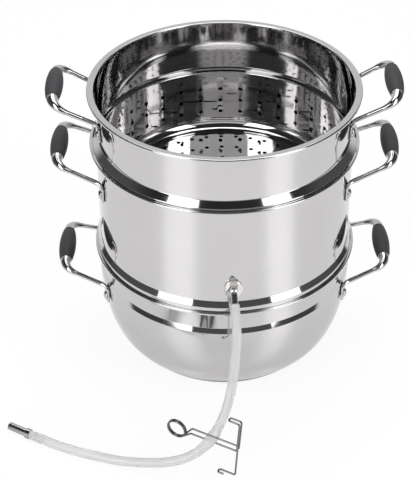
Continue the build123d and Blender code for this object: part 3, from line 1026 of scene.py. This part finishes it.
# Camera, as the photograph was taken
photo_height = 480
focal_pixels = 1386.0
camera_distance = 1575.0
camera_elevation = radians(36.69)
camera_yaw = radians(-0.95)
camera_roll = radians(-0.59)
target_right = -21.9
target_height = 121.4
back = Vector((
    sin(camera_yaw) * cos(camera_elevation), -cos(camera_yaw) * cos(camera_elevation), sin(camera_elevation),
))
right = (-back).cross(up_by(1)).normalized()
up = right.cross(-back)
camera_place = right * target_right + up_by(target_height) + back * camera_distance
rolled_right = right * cos(camera_roll) + up * sin(camera_roll)
rolled_up = up * cos(camera_roll) - right * sin(camera_roll)
camera_data = bpy.data.cameras.new("camera")
camera_data.sensor_width = 36.0
camera_data.lens = focal_pixels * camera_data.sensor_width / photo_height
camera_data.clip_end = 50.0
camera = bpy.data.objects.new("camera", camera_data)
bpy.context.scene.collection.objects.link(camera)
turn = Matrix((rolled_right, rolled_up, back)).transposed().to_4x4()
camera.matrix_world = Matrix.Translation(camera_place * mm) @ turn
bpy.context.scene.camera = camera


# Studio: a white table that ends at its sides and before the camera, tall softboxes left and right, one
# overhead, and a dark room with a white backdrop and a fill light round the camera
def glow(tree, kind, strength):
    """White light of a strength, from an emission or a background node."""
    return add_node(tree, kind, {"Color": linear("#ffffff"), "Strength": strength}).outputs[0]


def studio_floor():
    """White paper on a table: white to the camera, with the pots' soft shadow.

    The steel sees it end at both sides and before the camera, with a dark room beyond. Places are in metres.
    """
    material, tree = new_material("white_paper_floor")
    path = add_node(tree, "ShaderNodeLightPath").outputs
    place = add_node(tree, "ShaderNodeNewGeometry").outputs["Position"]
    parts = add_node(tree, "ShaderNodeSeparateXYZ", {"Vector": place}).outputs
    paper = add_node(tree, "ShaderNodeBsdfDiffuse", {"Color": linear("#f2f1f0")}).outputs[0]
    white = glow(tree, "ShaderNodeEmission", 1.0)
    to_camera = worked_out(tree, "MULTIPLY", path["Is Camera Ray"], 0.9)
    to_steel = worked_out(tree, "MULTIPLY", path["Is Glossy Ray"], 0.5)
    through_hose = worked_out(tree, "MULTIPLY", path["Is Transmission Ray"], 0.8)
    share = worked_out(tree, "MAXIMUM", worked_out(tree, "MAXIMUM", to_camera, to_steel), through_hose)
    lit = mix_shader(tree, share, paper, white)
    sheen = add_node(tree, "ShaderNodeBsdfAnisotropic", {"Color": linear("#ffffff"), "Roughness": 0.3})
    sheen_share = worked_out(tree, "MULTIPLY", path["Is Glossy Ray"], 0.14)
    table = mix_shader(tree, sheen_share, lit, sheen.outputs[0])
    past_side = ranged(tree, worked_out(tree, "ABSOLUTE", parts["X"]), (0.8, 0.9), (0.0, 1.0))
    past_front = ranged(tree, parts["Y"], (-1.0, -0.85), (1.0, 0.0))
    past_edge = worked_out(tree, "MAXIMUM", past_side, past_front)
    unseen = worked_out(tree, "MULTIPLY", past_edge, path["Is Glossy Ray"])
    dark = glow(tree, "ShaderNodeEmission", 0.06)
    add_node(tree, "ShaderNodeOutputMaterial", {"Surface": mix_shader(tree, unseen, table, dark)})
    return material


floor_half = 6000.0
corner_signs = ((-1, -1, 0), (1, -1, 0), (1, 1, 0), (-1, 1, 0))
floor_mesh = make_mesh("floor", [Vector(signs) * floor_half for signs in corner_signs], [(0, 1, 2, 3)])
new_piece("floor", floor_mesh, studio_floor())


def studio_world():
    """White to the camera, and even light to matt surfaces.

    The steel sees a dark room, a white backdrop behind the pots and a fill light round the camera.
    """
    world = bpy.data.worlds.new("studio")
    bpy.context.scene.world = world
    world.use_nodes = True
    tree = world.node_tree
    tree.nodes.clear()
    path = add_node(tree, "ShaderNodeLightPath").outputs
    way = add_node(tree, "ShaderNodeTexCoord").outputs["Generated"]
    parts = add_node(tree, "ShaderNodeSeparateXYZ", {"Vector": way}).outputs
    eased = "SMOOTHSTEP"
    fill_strength = 0.8
    dim = ranged(tree, parts["Z"], (0.5, 0.7), (0.12, 0.035), eased)
    backdrop = ranged(tree, parts["Y"], (0.55, 0.75), (0.0, 0.85), eased)
    fill_bottom = ranged(tree, parts["Z"], (0.47, 0.53), (0.0, fill_strength), eased)
    fill_top = ranged(tree, parts["Z"], (0.66, 0.72), (0.0, fill_strength), eased)
    near_camera = ranged(tree, parts["Y"], (-0.68, -0.5), (1.0, 0.0), eased)
    fill = worked_out(tree, "MULTIPLY", worked_out(tree, "SUBTRACT", fill_bottom, fill_top), near_camera)
    strength = worked_out(tree, "ADD", dim, worked_out(tree, "MAXIMUM", fill, backdrop))
    room = add_node(tree, "ShaderNodeBackground", {"Strength": strength}).outputs[0]
    seen = mix_shader(tree, path["Is Glossy Ray"], glow(tree, "ShaderNodeBackground", 0.64), room)
    direct = worked_out(tree, "MAXIMUM", path["Is Camera Ray"], path["Is Transmission Ray"])
    mixed = mix_shader(tree, direct, seen, glow(tree, "ShaderNodeBackground", 1.0))
    add_node(tree, "ShaderNodeOutputWorld", {"Surface": mixed})


studio_world()


def softbox(name, azimuth, distance, level, tilt, width, height, power):
    """A softbox that faces the pot's axis from an azimuth round the front, at a level and tilted down."""
    turn_about, rise = radians(azimuth), radians(tilt)
    place = Vector((sin(turn_about) * distance, -cos(turn_about) * distance, level))
    facing = Vector((sin(turn_about) * cos(rise), -cos(turn_about) * cos(rise), sin(rise)))
    data = bpy.data.lights.new(name, "AREA")
    data.shape = "RECTANGLE"
    data.size = width * mm
    data.size_y = height * mm
    data.energy = power
    lamp = bpy.data.objects.new(name, data)
    bpy.context.scene.collection.objects.link(lamp)
    lamp.location = place * mm
    lamp.rotation_mode = "QUATERNION"
    lamp.rotation_quaternion = facing.to_track_quat("Z", "Y")


softbox("softbox_left", azimuth=-41, distance=1200, level=1150, tilt=0, width=600, height=2100, power=10.5)
softbox("softbox_right", azimuth=47.5, distance=1200, level=1150, tilt=0, width=520, height=2100, power=10)
softbox("softbox_above", azimuth=180, distance=650, level=1935, tilt=70, width=1400, height=1400, power=16)

bpy.context.scene.view_settings.view_transform = "Standard"
